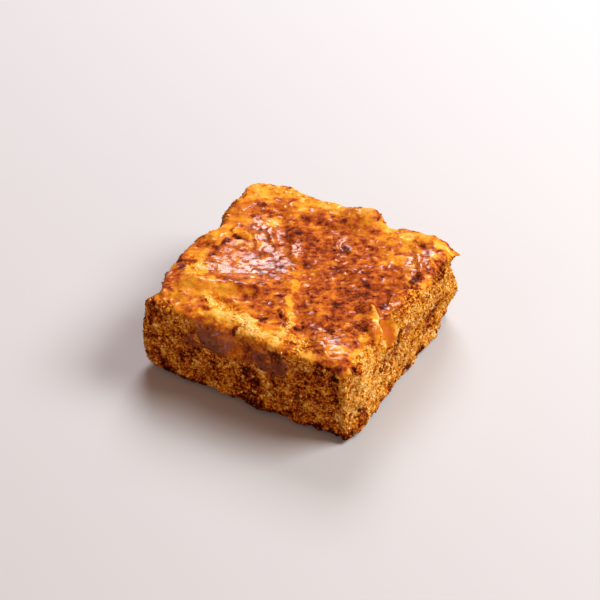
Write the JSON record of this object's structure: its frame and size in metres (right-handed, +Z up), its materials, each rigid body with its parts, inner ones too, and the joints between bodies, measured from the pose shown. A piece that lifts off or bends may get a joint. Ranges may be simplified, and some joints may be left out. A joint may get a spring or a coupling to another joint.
{
  "type": "lemon gateau breton portion",
  "caption": "Square-cut portion of baked gateau breton with a puffed, egg-washed crust and crumbly sides, lying flat on its underside.",
  "frame": {"origin": "middle of the bounding box at the flat underside", "axes": "+X along the longer sides, +Z up through the crust, -Y towards the side where the browned crust rolls over the edge"},
  "size_m": [0.074, 0.0718, 0.03],
  "materials": {
    "baked_crust": "egg-washed golden brown crust, glossy in patches, over matte crumb"
  },
  "bodies": {
    "root": {"gateau_breton": "baked_crust"}
  },
  "joints": []
}
